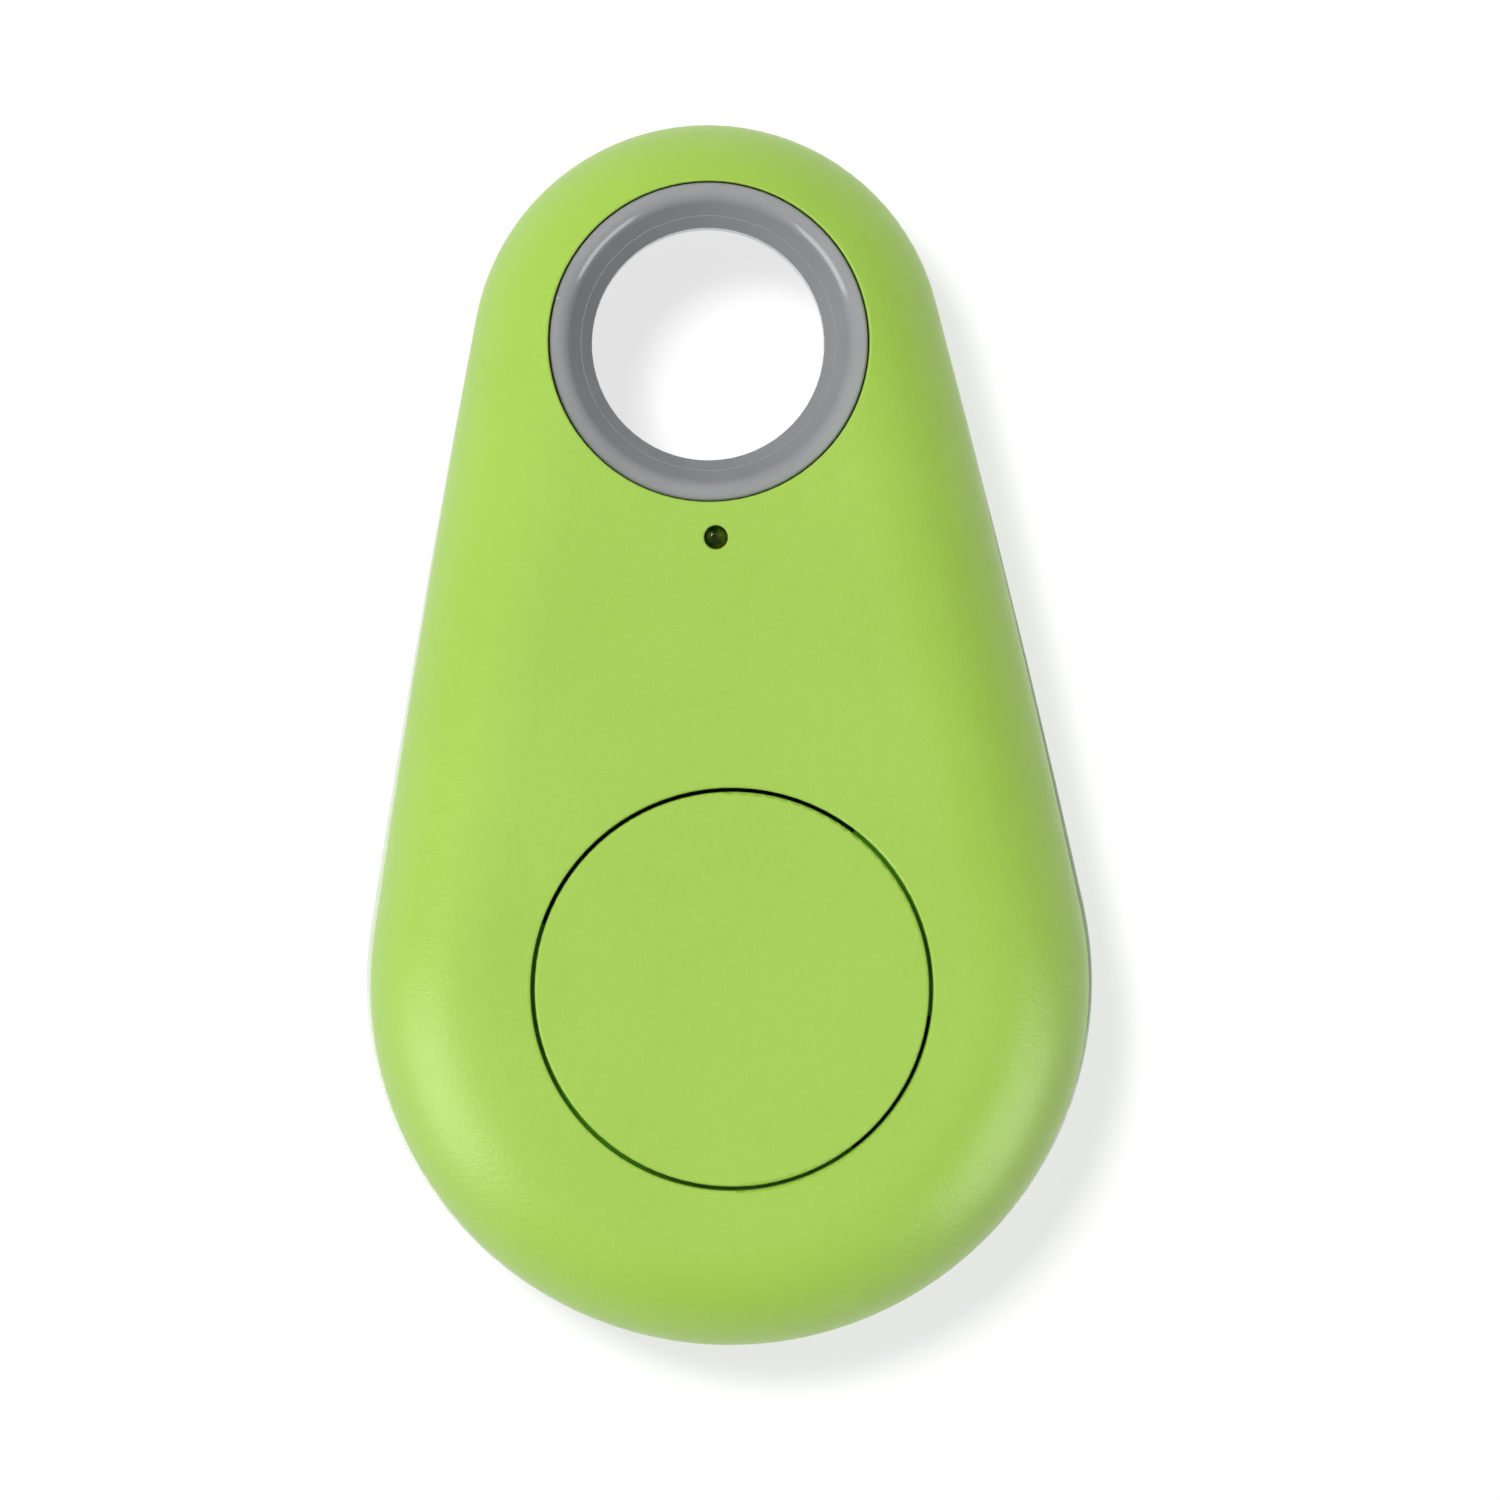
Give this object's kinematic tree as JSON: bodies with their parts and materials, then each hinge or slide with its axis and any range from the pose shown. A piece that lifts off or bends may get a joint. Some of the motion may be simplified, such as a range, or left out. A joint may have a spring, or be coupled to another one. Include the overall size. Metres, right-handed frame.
{
  "type": "bluetooth tracker tag",
  "caption": "Flat teardrop tracker tag with a grommet hole for a key ring, a round push button, a small light and a coin cell inside a snap-together case.",
  "frame": {"origin": "centre of the outline's box, on the rear face that the tag lies on", "axes": "+Z out of the button's face, +Y towards the key-ring hole, +X to the right seen from the front"},
  "size_m": [0.0312, 0.0524, 0.011],
  "materials": {
    "cover_plastic": "finely grained moulded ABS, satin",
    "frame_plastic": "smooth grey polycarbonate",
    "clear_plastic": "clear acrylic",
    "board_laminate": "green solder mask over glass laminate",
    "copper": "bare copper",
    "black_resin": "moulded black resin",
    "white_resin": "moulded white resin",
    "ceramic": "fired ceramic with tinned ends",
    "plated_steel": "bright nickel plating",
    "spring_steel": "bright spring steel",
    "seal_plastic": "black polypropylene",
    "tape_adhesive": "double-sided adhesive tape",
    "brass_sheet": "rolled brass",
    "silver_film": "fired silver film",
    "piezo_ceramic": "fired ceramic"
  },
  "bodies": {
    "rear_half": {"rear_cover": "cover_plastic", "middle_frame": "frame_plastic", "buzzer_tape": "tape_adhesive", "buzzer_disc": "brass_sheet", "buzzer_ceramic": "piezo_ceramic", "buzzer_electrode": "silver_film"},
    "front_half": {"front_cover": "cover_plastic", "light_pipe": "clear_plastic", "switch_housing": "black_resin", "switch_plate": "plated_steel", "switch_dome": "spring_steel", "switch_terminals": "plated_steel", "circuit_board": "board_laminate", "antenna_trace": "copper", "bluetooth_chip": "black_resin", "timing_crystal": "plated_steel", "boost_inductor": "black_resin", "status_led": "white_resin", "driver_transistor": "black_resin", "chip_capacitors": "ceramic", "chip_resistors": "black_resin", "positive_contacts": "spring_steel", "negative_contact": "spring_steel", "contact_springs": "spring_steel"},
    "coin_cell": {"cell_can": "plated_steel", "cell_gasket": "seal_plastic", "cell_cap": "plated_steel"},
    "button": {"button_cap": "cover_plastic"},
    "plunger": {"switch_plunger": "white_resin"}
  },
  "joints": [
    {"name": "front_half_lift", "type": "slide", "parent": "rear_half", "child": "front_half", "axis": [0, 0, 1], "range_m": [0, 0.03]},
    {"name": "cell_lift", "type": "slide", "parent": "rear_half", "child": "coin_cell", "axis": [0, 0, 1], "range_m": [0, 0.015]},
    {"name": "button_press", "type": "slide", "parent": "front_half", "child": "button", "axis": [0, 0, -1], "range_m": [0, 0.0003], "stiffness_N_per_m": 400, "springref_m": -0.0005},
    {"name": "plunger_press", "type": "slide", "parent": "front_half", "child": "plunger", "axis": [0, 0, -1], "range_m": [0, 0.0003], "deforming": ["switch_dome"]}
  ],
  "couplings": [
    {"joint": "cell_lift", "follows": "front_half_lift", "ratio": 0.5},
    {"joint": "plunger_press", "follows": "button_press", "ratio": 1}
  ]
}
